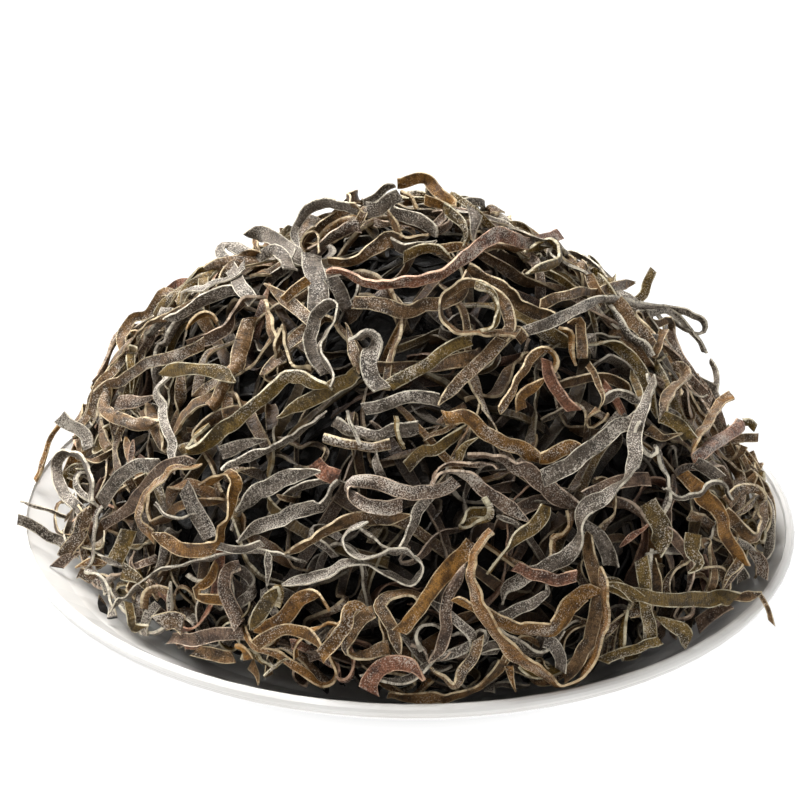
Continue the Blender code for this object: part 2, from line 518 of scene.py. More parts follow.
# The strips that stand out in the heap. Each is a colour, a width in millimetres, and the
# points that it runs through: millimetres right of and above the plate's middle as the
# camera sees them, and the lean in degrees, 0 where the face shows flat and 90 where the
# strip stands on edge. Those that lie under others come first.
CHOSEN = (
    # Top of the heap.
    ("grey", 4.8, (-13, 95, 0), (-9, 96, 0), (-6, 99, 0), (-2, 101, 20)),
    ("grey", 2.5, (-14, 98, 20), (-10, 100, 20), (-7, 103, 40), (-4, 104, 60)),
    ("grey", 3.2, (-35, 83, 20), (-36, 88, 0), (-34, 93, 0), (-30, 97, 10), (-25, 98, 30), (-20, 97, 40),
     (-16, 95, 40)),
    ("amber", 1.4, (-2, 101, 40), (1, 99, 60), (3, 96, 70)),
    ("amber", 3.4, (-3, 104, 30), (1, 105, 0), (6, 106, 0), (11, 101, 0), (14, 99, 30), (15, 97, 90),
     (12, 97, 140), (6, 99, 170)),
    ("grey", 3.6, (-6, 96, 10), (-1, 94, 10), (4, 92, 20), (8, 90, 30), (9, 87, 60)),
    ("brown", 3.0, (-6, 94, 40), (-3, 90, 50), (0, 87, 70), (8, 88, 75)),
    ("mauve", 4.0, (-31, 83, 60), (-26, 85, 50), (-22, 88, 30), (-18, 90, 0), (-15, 90, 0)),
    ("brown", 3.0, (-33, 82, 60), (-34, 85, 75), (-32, 88, 80), (-29, 88, 90), (-28, 82, 120)),
    ("brown", 4.2, (-25, 80, 60), (-19, 79, 50), (-14, 81, 40), (-9, 84, 10), (-6, 86, 0), (-3, 85, 30)),
    ("grey", 3.6, (-4, 85, 60), (0, 83, 40), (6, 84, 10), (10, 86, 0)),
    ("amber", 3.5, (9, 83, 0), (16, 84, 0), (22, 84, 0)),
    ("olive", 3.2, (-1, 80, 20), (5, 83, 20), (10, 83, 60), (14, 80, 90)),
    ("grey", 4.2, (22, 96, 0), (22, 91, 0), (22, 86, 0)),
    ("olive", 3.0, (12, 96, 20), (17, 93, 0), (19, 88, 0), (18, 84, 20)),
    ("grey", 5.0, (-50, 87, 60), (-46, 88, 0), (-41, 85, 0), (-37, 82, 0), (-33, 80, 20)),
    ("grey", 6.4, (-31, 82, 0), (-29, 72, 0), (-29, 62, 10)),
    ("grey", 4.3, (-24, 74, 0), (-21, 69, 0), (-19, 64, 20)),
    ("brown", 4.0, (-46, 72, 40), (-43, 70, 20), (-38, 66, 0), (-33, 62, 0), (-29, 59, 0)),
    ("amber", 3.0, (-40, 67, 20), (-36, 70, 20), (-32, 73, 10)),
    ("brown", 4.0, (-17, 66, 0), (-11, 66, 0), (-5, 64, 0), (0, 63, 10), (7, 65, 10), (13, 66, 0),
     (18, 69, 20), (20, 76, 80)),
    ("brown", 4.0, (20, 77, 60), (24, 74, 40), (34, 70, 40), (36, 66, 30), (41, 63, 20), (47, 61, 40)),
    ("olive", 3.5, (38, 82, 40), (43, 84, 40), (47, 85, 50), (50, 83, 80), (50, 80, 120), (47, 78, 150),
     (39, 75, 160)),
    ("red", 4.0, (-26, 76, 60), (-20, 76, 60), (-14, 73, 55), (-7, 72, 55), (0, 72, 50), (6, 73, 45),
     (11, 75, 40), (17, 79, 30), (22, 83, 20), (29, 88, 0), (35, 86, 0), (41, 85, 0), (50, 88, 0)),
    # Right shoulder.
    ("brown", 3.4, (53, 59, 40), (56, 59, 10), (57, 54, 0), (57, 47, 0)),
    ("brown", 4.6, (68, 66, 0), (72, 61, 0), (76, 56, 0), (79, 51, 10)),
    ("grey", 3.0, (65, 65, 50), (69, 59, 50), (72, 54, 40), (77, 51, 50), (79, 48, 50)),
    ("brown", 2.6, (83, 57, 10), (82, 52, 0), (80, 48, 20)),
    ("grey", 2.4, (74, 62, 20), (79, 62, 0), (84, 63, 0), (88, 61, 30), (92, 58, 60), (95, 54, 80),
     (97, 50, 85)),
    ("brown", 4.0, (86, 46, 0), (90, 44, 20), (90, 41, 60), (86, 38, 60), (84, 34, 40), (83, 28, 50)),
    ("mauve", 3.4, (85, 58, 40), (86, 53, 30), (88, 48, 0), (92, 43, 0), (96, 38, 0), (99, 34, 0)),
    ("grey", 2.4, (98, 47, 60), (100, 42, 30), (100, 37, 20), (102, 33, 20)),
    ("brown", 3.0, (59, 75, 30), (61, 70, 0), (63, 66, 0)),
    ("olive", 3.0, (80, 76, 20), (78, 72, 0), (77, 68, 0), (73, 66, 20)),
    ("brown", 2.6, (77, 60, 0), (81, 59, 0), (85, 60, 20), (86, 55, 50)),
    ("grey", 4.0, (64, 34, 70), (68, 37, 70), (72, 36, 65), (75, 35, 70), (79, 38, 75), (79, 42, 80)),
    ("brown", 3.0, (62, 31, 60), (59, 28, 80), (60, 25, 90), (63, 27, 90), (66, 30, 80)),
    ("brown", 2.2, (59, 46, 10), (61, 42, 10), (64, 35, 10), (62, 31, 10)),
    ("amber", 2.6, (49, 57, 60), (53, 55, 50), (53, 50, 40), (55, 45, 40)),
    ("brown", 3.3, (43, 65, 0), (50, 68, 0), (56, 69, 0), (62, 69, 0), (67, 71, 0), (74, 72, 0)),
    ("grey", 3.4, (37, 56, 0), (43, 58, 0), (50, 61, 0), (57, 64, 10), (64, 66, 40), (72, 65, 70),
     (80, 64, 70), (88, 64, 60), (93, 62, 50), (96, 59, 50), (95, 56, 80), (90, 57, 100), (86, 60, 110)),
    # Left shoulder.
    ("olive", 3.0, (-60, 78, 80), (-63, 76, 70), (-66, 73, 20), (-70, 71, 10), (-72, 69, 30),
     (-73, 65, 50)),
    ("grey", 3.0, (-52, 78, 40), (-57, 74, 70), (-61, 72, 75), (-66, 70, 60), (-72, 69, 70), (-73, 66, 80)),
    ("amber", 3.6, (-71, 57, 50), (-69, 60, 50), (-66, 62, 60), (-63, 61, 70), (-61, 58, 80)),
    ("mauve", 3.4, (-71, 52, 10), (-67, 53, 0), (-62, 55, 0), (-58, 58, 30), (-56, 63, 70), (-52, 67, 80),
     (-46, 67, 80)),
    ("grey", 4.2, (-78, 60, 60), (-74, 62, 40), (-69, 65, 40), (-60, 69, 40), (-55, 70, 30)),
    ("brown", 4.4, (-50, 61, 0), (-52, 56, 0), (-55, 46, 0), (-58, 41, 0), (-61, 36, 10), (-64, 32, 20)),
    ("brown", 4.0, (-39, 48, 40), (-45, 44, 60), (-46, 42, 90), (-43, 41, 120), (-38, 42, 130)),
    ("brown", 3.5, (-100, 37, 60), (-96, 39, 30), (-90, 42, 0), (-84, 46, 0), (-78, 48, 0), (-71, 50, 0),
     (-66, 52, 20)),
    ("brown", 4.0, (-98, 39, 30), (-98, 35, 10), (-97, 31, 0), (-93, 28, 0), (-87, 27, 0), (-80, 27, 0)),
    ("mauve", 4.0, (-94, 33, 0), (-88, 34, 0), (-81, 35, 0)),
    ("grey", 3.0, (-77, 43, 70), (-81, 37, 60), (-79, 32, 30), (-78, 26, 10), (-76, 19, 10), (-75, 10, 20)),
    ("olive", 4.3, (-80, 43, 0), (-74, 44, 0), (-67, 44, 0), (-60, 43, 0), (-55, 40, 0)),
    ("grey", 4.0, (-37, 77, 20), (-40, 81, 20), (-43, 83, 10), (-47, 81, 0), (-51, 81, 10), (-55, 83, 20),
     (-59, 85, 60), (-60, 82, 20), (-58, 79, 0), (-55, 74, 0), (-50, 66, 10)),
    ("brown", 3.6, (-46, 67, 75), (-45, 60, 70), (-43, 53, 70), (-41, 48, 90), (-41, 54, 60),
     (-40, 59, 90), (-39, 54, 80), (-38, 48, 80), (-36, 44, 80), (-31, 44, 80)),
    ("brown", 3.2, (-73, 66, 20), (-75, 68, 10), (-78, 69, 30), (-81, 66, 20), (-84, 62, 10),
     (-89, 60, 10), (-92, 54, 20), (-91, 49, 10), (-94, 44, 20), (-99, 39, 20), (-103, 29, 10)),
    # Middle.
    ("grey", 3.4, (-24, 27, 20), (-17, 24, 10), (-10, 23, 0), (-2, 24, 10), (4, 25, 20)),
    ("brown", 3.0, (-27, 22, 30), (-20, 20, 10), (-12, 19, 0), (-5, 20, 20)),
    ("grey", 2.0, (-19, 31, 60), (-18, 26, 60), (-15, 20, 70)),
    ("olive", 1.6, (-4, 29, 80), (-3, 24, 80), (-1, 19, 80)),
    ("brown", 3.6, (5, 21, 0), (11, 24, 0), (18, 27, 10)),
    ("olive", 4.4, (-42, 29, 0), (-39, 30, 0), (-33, 33, 0), (-26, 37, 0), (-20, 40, 0), (-15, 43, 0)),
    ("olive", 4.0, (-6, 39, 0), (0, 42, 0), (7, 46, 0), (14, 51, 0), (21, 54, 0)),
    ("grey", 4.0, (-14, 31, 0), (-7, 33, 0), (0, 35, 0), (7, 35, 0), (11, 34, 0)),
    ("brown", 3.4, (-20, 59, 0), (-18, 53, 0), (-17, 48, 0), (-15, 43, 0)),
    ("brown", 3.8, (10, 32, 20), (16, 39, 15), (22, 45, 0), (27, 50, 0), (32, 55, 0), (36, 56, 30),
     (38, 53, 60)),
    ("mauve", 4.0, (58, 3, 20), (64, 6, 0), (70, 8, 0), (79, 9, 0)),
    ("amber", 3.5, (37, 31, 30), (37, 35, 30), (40, 38, 30), (45, 41, 20)),
    ("red", 3.5, (45, 47, 30), (46, 43, 30), (48, 39, 30), (51, 34, 30), (54, 31, 30)),
    ("brown", 4.0, (36, 56, 40), (30, 56, 70), (22, 56, 80), (15, 57, 80), (11, 64, 75), (12, 68, 60),
     (17, 71, 50), (23, 71, 50), (28, 69, 50), (32, 64, 40), (33, 58, 30), (31, 54, 20)),
    ("olive", 3.5, (24, 57, 70), (28, 58, 80), (29, 63, 80), (27, 68, 70), (22, 71, 60)),
    ("grey", 4.0, (-60, 17, 0), (-52, 20, 0), (-45, 22, 0)),
    ("grey", 3.4, (-60, 11, 40), (-53, 15, 50), (-45, 18, 50), (-39, 21, 60), (-33, 25, 70), (-26, 31, 80)),
    ("red", 4.5, (-30, 14, 0), (-26, 11, 0), (-22, 9, 10)),
    ("grey", 5.0, (-55, -2, 60), (-50, 2, 20), (-45, 6, 0), (-39, 9, 0), (-33, 11, 0), (-28, 11, 30)),
    ("brown", 4.4, (-39, -15, 75), (-32, -11, 70), (-25, -7, 60), (-19, -5, 20), (-12, -4, 0),
     (-5, -4, 0), (1, -3, 0)),
    ("grey", 3.5, (-15, -7, 85), (-10, -11, 85), (-7, -14, 85), (-3, -15, 80), (0, -12, 70), (2, -6, 50),
     (5, 0, 30), (8, 4, 20)),
    ("olive", 3.5, (0, 12, 30), (4, 17, 0), (9, 18, 0), (14, 21, 30), (19, 26, 75)),
    ("olive", 4.0, (16, 15, 0), (19, 19, 0), (23, 22, 0)),
    ("amber", 4.2, (12, 29, 0), (17, 29, 0), (21, 28, 0), (25, 24, 0), (30, 21, 0), (35, 19, 0),
     (39, 17, 0), (43, 15, 40)),
    ("amber", 4.3, (43, 15, 40), (48, 17, 0), (53, 19, 0), (57, 19, 0)),
    ("mauve", 5.0, (20, 16, 80), (28, 16, 75), (34, 13, 50), (39, 11, 10), (44, 7, 0), (48, 4, 20),
     (53, 1, 60), (57, 0, 80)),
    ("mauve", 3.0, (8, 8, 80), (10, 12, 80), (15, 14, 70), (22, 14, 70), (28, 14, 80), (30, 12, 90)),
    ("mauve", 4.4, (8, 7, 80), (11, 10, 75), (16, 11, 65), (21, 9, 30), (25, 5, 0), (30, 1, 0),
     (35, -2, 0), (40, -5, 0)),
    ("olive", 3.5, (26, 3, 60), (28, -1, 80), (27, -5, 90), (21, -6, 60), (17, -7, 90), (18, -4, 60),
     (20, -2, 30), (26, -2, 20)),
    ("grey", 4.0, (29, -3, 0), (32, -4, 0), (36, -6, 0)),
    ("grey", 4.8, (44, 9, 0), (48, 11, 0), (53, 13, 0), (57, 17, 0), (61, 20, 0), (67, 24, 0), (75, 29, 0)),
    ("grey", 4.6, (56, -5, 30), (60, -8, 0), (64, -13, 0), (67, -19, 30)),
    ("olive", 4.0, (27, -21, 85), (31, -16, 80), (35, -11, 60), (40, -8, 20), (44, -4, 20), (45, 0, 50)),
    ("amber", 3.5, (30, 31, 50), (34, 37, 50), (37, 42, 50), (40, 47, 50), (43, 50, 60), (46, 50, 75),
     (48, 47, 60), (47, 43, 50)),
    ("olive", 4.4, (-64, 26, 100), (-69, 22, 90), (-71, 18, 85), (-66, 19, 50), (-60, 24, 0),
     (-53, 29, 0), (-46, 35, 20), (-40, 41, 40), (-36, 42, 50), (-31, 40, 50), (-25, 38, 70)),
    ("grey", 4.0, (-26, 43, 30), (-29, 47, 20), (-31, 52, 15), (-31, 56, 10), (-29, 61, 15),
     (-26, 65, 40), (-23, 65, 70), (-22, 62, 90), (-23, 59, 90), (-26, 56, 80), (-28, 52, 75),
     (-27, 48, 80), (-24, 42, 85), (-25, 38, 90)),
    ("grey", 5.5, (-17, 54, 80), (-13, 56, 75), (-10, 54, 60), (-11, 50, 30), (-12, 46, 0),
     (-11, 41, -20), (-8, 38, -40)),
    ("grey", 4.5, (-55, -12, 80), (-51, -8, 40), (-46, -6, 0), (-40, -4, 0), (-35, -2, 0), (-30, 0, 20),
     (-27, 1, 60), (-22, 8, 80)),
    ("mauve", 4.2, (16, 8, 0), (10, 5, 0), (4, 4, 0), (-2, 5, 0), (-8, 7, 0), (-14, 8, 10), (-18, 8, 45),
     (-20, 5, 90), (-18, 2, 135), (-13, 0, 160), (-7, -1, 180), (-1, 0, 180)),
    ("grey", 3.5, (-94, -33, 75), (-88, -27, 80), (-80, -21, 80), (-70, -18, 80), (-58, -16, 80),
     (-48, -15, 80), (-40, -16, 80), (-32, -19, 75)),
    ("grey", 4.0, (-15, -6, 80), (-19, -8, 88), (-21, -11, 88), (-19, -15, 88), (-15, -17, 88),
     (-9, -16, 88), (-3, -15, 88), (1, -16, 88), (4, -19, 88), (4, -22, 88), (1, -25, 85), (-4, -23, 75),
     (-9, -21, 80), (-15, -19, 75), (-20, -19, 65), (-26, -22, 50), (-33, -24, 45), (-40, -26, 50)),
    # Left side, down to the plate's lip.
    ("mauve", 4.0, (-76, -43, 0), (-68, -43, 0), (-60, -42, 0), (-53, -42, 10)),
    ("grey", 4.4, (-72, 6, 0), (-69, 0, 0), (-66, -6, 0), (-63, -10, 20)),
    ("grey", 1.8, (-81, 1, 70), (-78, -3, 75), (-73, -4, 75), (-68, -3, 75)),
    ("grey", 2.4, (-61, -13, 0), (-54, -14, 10), (-47, -12, 30)),
    ("grey", 1.4, (-71, -22, 80), (-67, -24, 80), (-61, -22, 80)),
    ("brown", 4.0, (-68, -47, 20), (-62, -48, 0), (-56, -49, 0)),
    ("brown", 3.4, (-50, -51, 0), (-48, -55, 0), (-48, -58, 20)),
    ("amber", 3.0, (-56, -46, 40), (-53, -47, 60), (-51, -50, 30)),
    ("olive", 3.4, (-46, -55, 0), (-42, -52, 0), (-38, -50, 0)),
    ("brown", 5.0, (-80, -38, 0), (-76, -37, 0), (-73, -39, 0)),
    ("grey", 3.2, (-80, -32, 60), (-83, -35, 40), (-85, -39, 30), (-85, -42, 50)),
    ("olive", 5.0, (-90, -8, 0), (-92, -13, 0), (-94, -18, 0)),
    ("olive", 5.0, (-92, -21, 0), (-87, -24, 0), (-84, -27, 20)),
    ("brown", 2.8, (-98, -30, 10), (-98, -36, 10)),
    ("amber", 3.6, (-107, -20, 30), (-102, -18, 0), (-97, -18, 0)),
    ("mauve", 3.4, (-113, -20, 0), (-109, -17, 0), (-106, -15, 20)),
    ("brown", 3.0, (-106, -22, 0), (-101, -24, 0)),
    ("olive", 3.0, (-90, -31, 20), (-89, -36, 0), (-88, -39, 30), (-85, -39, 60)),
    ("brown", 2.8, (-84, -33, 50), (-83, -29, 60), (-80, -27, 60), (-77, -28, 40)),
    ("amber", 3.0, (-61, -20, 60), (-63, -23, 20), (-66, -26, 10), (-67, -28, 60), (-63, -30, 20),
     (-59, -31, 10)),
    ("mauve", 4.2, (-54, -19, 70), (-58, -21, 30), (-59, -26, 0), (-57, -32, 0), (-54, -39, 0)),
    ("grey", 2.6, (-44, -15, 20), (-45, -20, 10), (-45, -26, 30)),
    ("grey", 3.0, (-104, -21, 80), (-100, -22, 80), (-97, -26, 75), (-96, -31, 70), (-95, -36, 50)),
    ("mauve", 3.8, (-98, -6, 20), (-93, -3, 0), (-88, 1, 0), (-85, 6, 0), (-80, 11, 0), (-74, 14, 0),
     (-68, 15, 20)),
    ("grey", 4.5, (-112, 29, 0), (-108, 26, 0), (-104, 23, 10), (-103, 18, 30)),
    ("amber", 1.6, (-112, 26, 0), (-115, 22, 0), (-117, 17, 30), (-118, 12, 60), (-120, 8, 60)),
    ("grey", 4.3, (-99, 1, 30), (-95, 7, 0), (-90, 11, 0), (-85, 13, 0), (-79, 13, 20)),
    ("red", 4.8, (-88, 21, 0), (-89, 17, 0), (-90, 13, 0)),
    ("grey", 1.5, (-125, 1, 40), (-120, 0, 40), (-114, -2, 40), (-108, -4, 40)),
    ("grey", 3.6, (-126, -4, 30), (-122, -6, 0), (-117, -9, 0), (-112, -12, 0), (-106, -16, 20)),
    ("brown", 4.5, (-102, -1, 0), (-105, -7, 0), (-108, -12, 0), (-111, -17, 20)),
    ("brown", 3.0, (-109, 2, 85), (-113, 0, 85), (-114, -4, 85), (-113, -8, 80), (-109, -10, 75),
     (-104, -11, 60)),
    ("grey", 3.0, (-98, 1, 80), (-101, -2, 80), (-101, -11, 80), (-102, -16, 80), (-104, -20, 80)),
    ("amber", 4.5, (-82, -9, 0), (-77, -12, 10), (-71, -14, 10), (-65, -14, 20), (-61, -12, 50),
     (-60, -7, 60), (-58, -4, 80), (-57, 4, 50), (-56, 7, 40), (-58, 10, 70), (-61, 9, 120),
     (-65, 7, 130)),
    ("grey", 4.0, (-105, -2, 0), (-108, 1, 10), (-111, 5, 10), (-113, 9, 20), (-113, 14, 40),
     (-110, 17, 60), (-106, 16, 70), (-104, 12, 70), (-102, 7, 75), (-102, 2, 75)),
    ("amber", 4.5, (-66, 14, 60), (-70, 12, 80), (-75, 11, 80), (-80, 8, 80), (-84, 4, 75), (-86, 0, 70),
     (-87, -4, 70), (-85, -8, 50), (-82, -10, 30)),
    # Right side.
    ("olive", 4.0, (83, 29, 0), (88, 26, 0), (92, 22, 10)),
    ("brown", 3.4, (78, 25, 10), (83, 22, 0), (89, 24, 0)),
    ("brown", 3.0, (104, 21, 20), (109, 22, 0), (114, 22, 10)),
    ("olive", 3.0, (109, 27, 30), (113, 25, 10)),
    ("mauve", 3.6, (113, -15, 20), (115, -19, 0), (115, -23, 20)),
    ("brown", 1.8, (114, -29, 0), (117, -34, 0), (118, -38, 0)),
    ("brown", 4.0, (105, -30, 0), (110, -29, 0), (115, -28, 20)),
    ("olive", 4.4, (80, -36, 10), (85, -38, 0), (90, -41, 0), (92, -45, 20)),
    ("mauve", 4.2, (104, -32, 30), (99, -35, 0), (94, -39, 0)),
    ("brown", 3.2, (80, -18, 60), (81, -24, 20), (81, -29, 10)),
    ("brown", 3.4, (108, -18, 40), (104, -22, 10), (102, -27, 10)),
    ("amber", 3.5, (105, 36, 30), (100, 31, 40), (97, 26, 40), (94, 21, 60), (92, 16, 70)),
    ("red", 3.8, (93, 15, 0), (98, 19, 0), (104, 23, 0), (109, 27, 20)),
    ("grey", 4.2, (93, 14, 0), (97, 12, 0), (101, 9, 0)),
    ("grey", 3.0, (76, 27, 85), (75, 22, 88), (79, 17, 88), (80, 20, 88), (82, 18, 88), (83, 14, 85),
     (85, 7, 80), (84, 2, 80), (82, -2, 75)),
    ("amber", 4.3, (89, 10, 0), (94, 5, 0), (99, 0, 0), (102, -4, 0), (103, -9, 0), (106, -14, 0),
     (109, -19, 30)),
    ("brown", 4.4, (104, 0, 20), (108, 4, 30), (112, 5, 60), (115, 3, 85), (115, -3, 100), (114, -8, 100),
     (112, -10, 120), (107, -6, 150), (103, -2, 160)),
    ("grey", 3.0, (83, 5, 70), (88, 3, 75), (94, 4, 75), (99, 7, 75), (103, 6, 80), (105, 2, 85)),
    ("olive", 5.2, (78, 1, 0), (81, -4, 0), (83, -9, 0), (81, -14, 30)),
    ("red", 3.0, (69, -13, 0), (74, -9, 0), (78, -6, 20)),
    ("grey", 3.0, (80, -14, 80), (79, -20, 80), (78, -27, 80)),
    ("olive", 4.0, (76, -17, 20), (77, -26, 0), (78, -36, 0), (79, -45, 0)),
    ("mauve", 4.0, (109, -20, 0), (105, -23, 0), (102, -27, 0)),
    ("olive", 5.0, (93, -9, 0), (93, -15, 0), (95, -19, 0), (91, -22, 20)),
    ("olive", 4.4, (63, -25, 0), (72, -28, 0), (82, -30, 0), (92, -30, 0), (100, -30, 0), (106, -30, 20)),
    ("grey", 4.4, (80, 42, 80), (78, 36, 40), (76, 30, 0), (74, 24, 0), (74, 17, 0), (73, 12, 40),
     (69, 7, 80), (65, 4, 30), (60, 1, 0), (57, -3, 40), (56, -8, 85), (55, -13, 40), (50, -17, 0),
     (43, -21, 0), (37, -24, 0), (32, -27, 40), (31, -32, 80)),
    # Front.
    ("amber", 4.3, (-50, -40, 10), (-44, -39, 0), (-39, -36, 0), (-35, -31, 0), (-31, -29, 20),
     (-28, -29, 70), (-26, -32, 110), (-25, -34, 130)),
    ("amber", 4.0, (-49, -45, 20), (-44, -42, 10), (-39, -40, 10), (-33, -41, 20), (-30, -43, 60),
     (-27, -46, 85)),
    ("brown", 4.0, (-11, -34, 40), (-15, -37, 0), (-18, -42, 0), (-19, -46, 60), (-17, -48, 90),
     (-12, -47, 150), (-6, -46, 170)),
    ("amber", 4.0, (-28, -49, 0), (-25, -46, 0), (-21, -42, 0), (-20, -38, 20), (-19, -34, 30),
     (-16, -32, 0), (-12, -34, 20)),
    ("olive", 4.0, (-50, -40, 20), (-47, -34, 0), (-44, -29, 0), (-43, -26, 60), (-41, -26, 90),
     (-40, -29, 120), (-41, -33, 120)),
    ("brown", 3.8, (5, -30, 60), (0, -28, 60), (-6, -29, 40), (-9, -32, 10), (-7, -36, 0), (-4, -41, 0),
     (-2, -48, 0)),
    ("amber", 4.6, (22, -12, 30), (18, -16, 0), (13, -21, 0), (8, -28, 0), (3, -35, 0), (-3, -41, 0)),
    ("mauve", 3.5, (7, -51, 20), (11, -46, 0), (13, -39, 0), (13, -32, 0), (16, -25, 0), (19, -19, 20)),
    ("brown", 4.0, (-6, -61, 60), (2, -62, 50), (10, -62, 50), (17, -61, 60), (23, -59, 70),
     (28, -55, 60), (32, -50, 50)),
    ("brown", 3.5, (8, -52, 80), (12, -56, 80), (16, -58, 70), (19, -53, 20), (22, -48, 0), (24, -43, 0)),
    ("brown", 4.0, (59, -9, 60), (59, -14, 50), (60, -19, 10), (62, -25, 0), (62, -31, 0), (60, -40, 0),
     (57, -48, 0), (51, -55, 0)),
    ("grey", 3.6, (31, -36, 0), (37, -33, 0), (43, -30, 0), (46, -28, 30), (46, -24, 60)),
    ("red", 3.5, (35, -20, 0), (41, -22, 0), (48, -24, 0), (55, -23, 20)),
    ("olive", 4.0, (64, -25, 0), (70, -27, 0), (75, -30, 0)),
    ("olive", 3.2, (63, -51, 0), (69, -48, 0), (75, -46, 0), (82, -43, 20)),
    ("grey", 3.4, (45, -44, 0), (48, -45, 0), (50, -49, 0), (50, -53, 20)),
    ("amber", 2.5, (33, -52, 0), (36, -60, 0)),
    ("red", 4.6, (-12, -60, 0), (-12, -57, 0), (-9, -53, 10), (-5, -51, 20), (0, -51, 20), (4, -53, 40),
     (6, -56, 60)),
    ("amber", 5.4, (16, -30, 60), (25, -34, 55), (31, -38, 50), (36, -40, 50), (45, -41, 45),
     (50, -38, 30), (54, -32, 10), (58, -28, 0), (61, -29, 0)),
    ("amber", 5.0, (28, -8, 75), (25, -11, 70), (22, -16, 65), (21, -22, 60), (22, -28, 55),
     (25, -36, 50), (33, -46, 50), (42, -53, 60), (50, -58, 80), (56, -56, 100), (60, -50, 115),
     (63, -43, 120), (64, -35, 120), (64, -28, 115), (63, -20, 110)),
)


def catmull_rom(points, gap):
    """A smooth course through these rows of values, with even steps over the first two."""
    padded = np.vstack((2 * points[0] - points[1], points, 2 * points[-1] - points[-2]))
    course = []
    for before, here, there, after in zip(padded, padded[1:], padded[2:], padded[3:]):
        for share in np.arange(0, 1, 0.05):
            course.append(0.5 * (
                2 * here + (there - before) * share
                + (2 * before - 5 * here + 4 * there - after) * share**2
                + (3 * here - before - 3 * there + after) * share**3
            ))
    course = np.array(course + [points[-1]])
    steps = np.linalg.norm(np.diff(course[:, :2], axis=0), axis=1)
    length = np.append(0, np.cumsum(steps))
    places = np.linspace(0, length[-1], max(8, int(length[-1] / gap)))
    return np.stack([np.interp(places, length, column) for column in course.T], axis=1)


class Front:
    """The heap as the camera sees it: how far off the nearest strip is at each place."""

    def __init__(self, sight):
        self.sight = sight
        size = int(2 * SIGHT_HALF / SIGHT_CELL)
        self.near = np.full((size, size), 2.0)

    def places(self, points):
        """The cells that points show in, and how far off they are."""
        away = points - self.sight.place
        far = np.linalg.norm(away, axis=-1)
        depth = -(away @ self.sight.back)
        plane = -((LIP_MIDDLE - self.sight.place) @ self.sight.back)
        shown = away * (plane / depth)[..., None] + self.sight.place - LIP_MIDDLE
        i = (shown @ self.sight.right + SIGHT_HALF) / SIGHT_CELL
        j = (shown @ self.sight.up + SIGHT_HALF) / SIGHT_CELL
        most = len(self.near) - 1
        return np.clip(i.astype(int), 0, most), np.clip(j.astype(int), 0, most), far

    def mark(self, points):
        i, j, far = self.places(points)
        np.minimum.at(self.near, (i, j), far)

    def behind(self, points):
        """How far points are behind what shows in their places."""
        i, j, far = self.places(points)
        return far - self.near[i, j]


def met_outline(room, sight, lines):
    """How far off lines of sight first meet the heap's outline, or pass nearest to it."""
    depths = np.arange(0.80, 1.20, 0.5 * MM)
    away = sight.place + lines[:, None] * depths[None, :, None] - FAN
    reach = np.linalg.norm(away, axis=2)
    rays = (away / reach[..., None]).reshape(-1, 3)
    excess = reach - room.read(room.outline, rays).reshape(reach.shape)
    inside = excess < 0
    far = depths[np.where(inside.any(1), inside.argmax(1), excess.argmin(1))]
    met = sight.place + lines * far[:, None]
    outside = (np.hypot(met[:, 0], met[:, 1]) > LIP_REACH) & (met[:, 2] < OVER_LIP)
    return np.where(outside, (OVER_LIP - sight.place[2]) / lines[:, 2], far)


def leaning(sight, lines, far, lean):
    """A strip's points this far off along its lines of sight, the way across it and the
    way out of its face, with its left edge leaning towards the camera."""
    placed = sight.place + lines * far[:, None]
    along = unit(np.gradient(placed, axis=0))
    toward = unit(-lines + along * (lines * along).sum(1)[:, None])
    wide = np.cross(toward, along) * np.cos(lean)[:, None] + toward * np.sin(lean)[:, None]
    return placed, wide, np.cross(along, wide)


def chosen_strip(rng, room, front, width, points):
    """A strip that shows where its points say, laid on the heap's front."""
    sight = front.sight
    rows = np.array(points, float)
    course = catmull_rom(rows * (MM, MM, 1.0), CHOSEN_GAP)
    count = len(course)
    course[:, 0] += 0.30 * MM * wander(rng, count, CHOSEN_GAP, 4 * MM)
    course[:, 1] += 0.30 * MM * wander(rng, count, CHOSEN_GAP, 4 * MM)
    lines = sight.lines(course[:, 0], course[:, 1])
    lean = np.radians(course[:, 2] + 9 * wander(rng, count, CHOSEN_GAP, 5 * MM))
    flat = np.arange(len(course)) * CHOSEN_GAP
    far = smoothed(met_outline(room, sight, lines), flat, 6 * MM)
    half = width * MM / 2
    placed, wide, _ = leaning(sight, lines, far, lean)
    need = np.full(len(placed), -1.0)
    for share in (-1, -0.5, 0, 0.5, 1):
        need = np.maximum(need, front.behind(placed + wide * half * share))
    rise = settled(need + 0.3 * MM, flat, 0.030 + 0.060 * np.abs(np.sin(lean)).mean())
    rise = smoothed(np.clip(rise, LEAST_RISE, MOST_RISE), flat, 3 * MM)
    placed, wide, up = leaning(sight, lines, far - rise, lean)
    steps = np.linalg.norm(np.diff(placed, axis=0), axis=1)
    strip = Strip(placed, wide, up, half, np.append(0, np.cumsum(steps)))
    front.mark(strip.cover())
    return strip


# ---------------------------------------------------------------- the strips' finish


# How deep a strip counts as lying when nothing lies on it.
ON_TOP = 1.0 * MM


